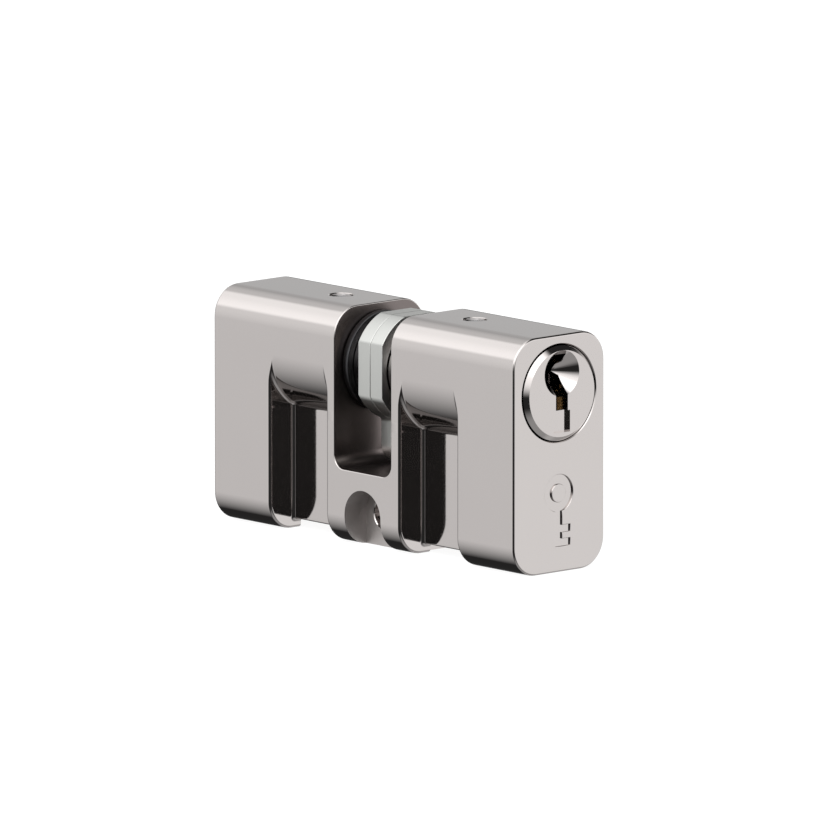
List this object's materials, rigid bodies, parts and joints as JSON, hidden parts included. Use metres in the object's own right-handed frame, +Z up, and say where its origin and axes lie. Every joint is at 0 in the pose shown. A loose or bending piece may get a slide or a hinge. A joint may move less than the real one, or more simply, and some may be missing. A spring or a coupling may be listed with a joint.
{
  "type": "door lock cylinder",
  "caption": "Oval-profile double lock cylinder with a keyed plug at each end and a cam with a drop lever in its middle slot.",
  "frame": {"origin": "on the flat underside, below the middle of the cylinder", "axes": "+X along the cylinder towards the front key face, +Z up towards the plugs, -Y the side seen first"},
  "size_m": [0.0632, 0.0168, 0.033],
  "materials": {
    "satin_nickel": "satin nickel plate on brass",
    "black_spring_steel": "blackened spring steel",
    "cam_steel": "bright zinc plate on sintered steel",
    "hard_steel": "ground hardened steel",
    "brass": "turned brass",
    "spring_bronze": "drawn bronze wire"
  },
  "bodies": {
    "housing": {"housing": "satin_nickel", "top_pin_front": "hard_steel", "spring_front_1": "spring_bronze", "chamber_plug_front_1": "brass", "spring_front_2": "spring_bronze", "chamber_plug_front_2": "brass", "spring_front_3": "spring_bronze", "chamber_plug_front_3": "brass", "spring_front_4": "spring_bronze", "chamber_plug_front_4": "brass", "spring_front_5": "spring_bronze", "chamber_plug_front_5": "brass", "top_pin_rear": "hard_steel", "spring_rear_1": "spring_bronze", "chamber_plug_rear_1": "brass", "spring_rear_2": "spring_bronze", "chamber_plug_rear_2": "brass", "spring_rear_3": "spring_bronze", "chamber_plug_rear_3": "brass", "spring_rear_4": "spring_bronze", "chamber_plug_rear_4": "brass", "spring_rear_5": "spring_bronze", "chamber_plug_rear_5": "brass"},
    "front_plug": {"plug_front": "satin_nickel", "circlip_front": "black_spring_steel"},
    "rear_plug": {"plug_rear": "satin_nickel", "circlip_rear": "black_spring_steel"},
    "cam": {"cam_half_front": "cam_steel", "cam_half_rear": "cam_steel"},
    "clutch": {"clutch": "hard_steel"},
    "key_pin_front_1": {"key_pin_front_1": "brass"},
    "key_pin_front_2": {"key_pin_front_2": "brass"},
    "key_pin_front_3": {"key_pin_front_3": "brass"},
    "key_pin_front_4": {"key_pin_front_4": "brass"},
    "key_pin_front_5": {"key_pin_front_5": "brass"},
    "key_pin_rear_1": {"key_pin_rear_1": "brass"},
    "key_pin_rear_2": {"key_pin_rear_2": "brass"},
    "key_pin_rear_3": {"key_pin_rear_3": "brass"},
    "key_pin_rear_4": {"key_pin_rear_4": "brass"},
    "key_pin_rear_5": {"key_pin_rear_5": "brass"},
    "driver_pin_front_1": {"driver_pin_front_1": "hard_steel"},
    "driver_pin_front_2": {"driver_pin_front_2": "hard_steel"},
    "driver_pin_front_3": {"driver_pin_front_3": "hard_steel"},
    "driver_pin_front_4": {"driver_pin_front_4": "hard_steel"},
    "driver_pin_front_5": {"driver_pin_front_5": "hard_steel"},
    "driver_pin_rear_1": {"driver_pin_rear_1": "hard_steel"},
    "driver_pin_rear_2": {"driver_pin_rear_2": "hard_steel"},
    "driver_pin_rear_3": {"driver_pin_rear_3": "hard_steel"},
    "driver_pin_rear_4": {"driver_pin_rear_4": "hard_steel"},
    "driver_pin_rear_5": {"driver_pin_rear_5": "hard_steel"}
  },
  "joints": [
    {"name": "front_plug_turn", "type": "hinge", "parent": "housing", "child": "front_plug", "pos_m": [0, 0, 0.0249], "axis": [1, 0, 0], "continuous": true},
    {"name": "rear_plug_turn", "type": "hinge", "parent": "housing", "child": "rear_plug", "pos_m": [0, 0, 0.0249], "axis": [1, 0, 0], "continuous": true},
    {"name": "cam_turn", "type": "hinge", "parent": "housing", "child": "cam", "pos_m": [0, 0, 0.0249], "axis": [1, 0, 0], "continuous": true},
    {"name": "clutch_slide", "type": "slide", "parent": "cam", "child": "clutch", "axis": [1, 0, 0], "range_m": [-0.0017, 0]},
    {"name": "key_pin_front_1_rise", "type": "slide", "parent": "front_plug", "child": "key_pin_front_1", "axis": [0, 0, 1], "range_m": [0, 0.0026]},
    {"name": "key_pin_front_2_rise", "type": "slide", "parent": "front_plug", "child": "key_pin_front_2", "axis": [0, 0, 1], "range_m": [0, 0.0018]},
    {"name": "key_pin_front_3_rise", "type": "slide", "parent": "front_plug", "child": "key_pin_front_3", "axis": [0, 0, 1], "range_m": [0, 0.003]},
    {"name": "key_pin_front_4_rise", "type": "slide", "parent": "front_plug", "child": "key_pin_front_4", "axis": [0, 0, 1], "range_m": [0, 0.0014]},
    {"name": "key_pin_front_5_rise", "type": "slide", "parent": "front_plug", "child": "key_pin_front_5", "axis": [0, 0, 1], "range_m": [0, 0.0022]},
    {"name": "key_pin_rear_1_rise", "type": "slide", "parent": "rear_plug", "child": "key_pin_rear_1", "axis": [0, 0, 1], "range_m": [0, 0.0026]},
    {"name": "key_pin_rear_2_rise", "type": "slide", "parent": "rear_plug", "child": "key_pin_rear_2", "axis": [0, 0, 1], "range_m": [0, 0.0018]},
    {"name": "key_pin_rear_3_rise", "type": "slide", "parent": "rear_plug", "child": "key_pin_rear_3", "axis": [0, 0, 1], "range_m": [0, 0.003]},
    {"name": "key_pin_rear_4_rise", "type": "slide", "parent": "rear_plug", "child": "key_pin_rear_4", "axis": [0, 0, 1], "range_m": [0, 0.0014]},
    {"name": "key_pin_rear_5_rise", "type": "slide", "parent": "rear_plug", "child": "key_pin_rear_5", "axis": [0, 0, 1], "range_m": [0, 0.0022]},
    {"name": "driver_pin_front_1_press", "type": "slide", "parent": "housing", "child": "driver_pin_front_1", "axis": [0, 0, 1], "range_m": [-0.003, 0], "stiffness_N_per_m": 80, "springref_m": 0.003, "deforming": ["spring_front_1"]},
    {"name": "driver_pin_front_2_press", "type": "slide", "parent": "housing", "child": "driver_pin_front_2", "axis": [0, 0, 1], "range_m": [-0.003, 0], "stiffness_N_per_m": 80, "springref_m": 0.003, "deforming": ["spring_front_2"]},
    {"name": "driver_pin_front_3_press", "type": "slide", "parent": "housing", "child": "driver_pin_front_3", "axis": [0, 0, 1], "range_m": [-0.003, 0], "stiffness_N_per_m": 80, "springref_m": 0.003, "deforming": ["spring_front_3"]},
    {"name": "driver_pin_front_4_press", "type": "slide", "parent": "housing", "child": "driver_pin_front_4", "axis": [0, 0, 1], "range_m": [-0.003, 0], "stiffness_N_per_m": 80, "springref_m": 0.003, "deforming": ["spring_front_4"]},
    {"name": "driver_pin_front_5_press", "type": "slide", "parent": "housing", "child": "driver_pin_front_5", "axis": [0, 0, 1], "range_m": [-0.003, 0], "stiffness_N_per_m": 80, "springref_m": 0.003, "deforming": ["spring_front_5"]},
    {"name": "driver_pin_rear_1_press", "type": "slide", "parent": "housing", "child": "driver_pin_rear_1", "axis": [0, 0, 1], "range_m": [-0.003, 0], "stiffness_N_per_m": 80, "springref_m": 0.003, "deforming": ["spring_rear_1"]},
    {"name": "driver_pin_rear_2_press", "type": "slide", "parent": "housing", "child": "driver_pin_rear_2", "axis": [0, 0, 1], "range_m": [-0.003, 0], "stiffness_N_per_m": 80, "springref_m": 0.003, "deforming": ["spring_rear_2"]},
    {"name": "driver_pin_rear_3_press", "type": "slide", "parent": "housing", "child": "driver_pin_rear_3", "axis": [0, 0, 1], "range_m": [-0.003, 0], "stiffness_N_per_m": 80, "springref_m": 0.003, "deforming": ["spring_rear_3"]},
    {"name": "driver_pin_rear_4_press", "type": "slide", "parent": "housing", "child": "driver_pin_rear_4", "axis": [0, 0, 1], "range_m": [-0.003, 0], "stiffness_N_per_m": 80, "springref_m": 0.003, "deforming": ["spring_rear_4"]},
    {"name": "driver_pin_rear_5_press", "type": "slide", "parent": "housing", "child": "driver_pin_rear_5", "axis": [0, 0, 1], "range_m": [-0.003, 0], "stiffness_N_per_m": 80, "springref_m": 0.003, "deforming": ["spring_rear_5"]}
  ],
  "couplings": [
    {"joint": "cam_turn", "follows": "front_plug_turn", "ratio": 1}
  ]
}
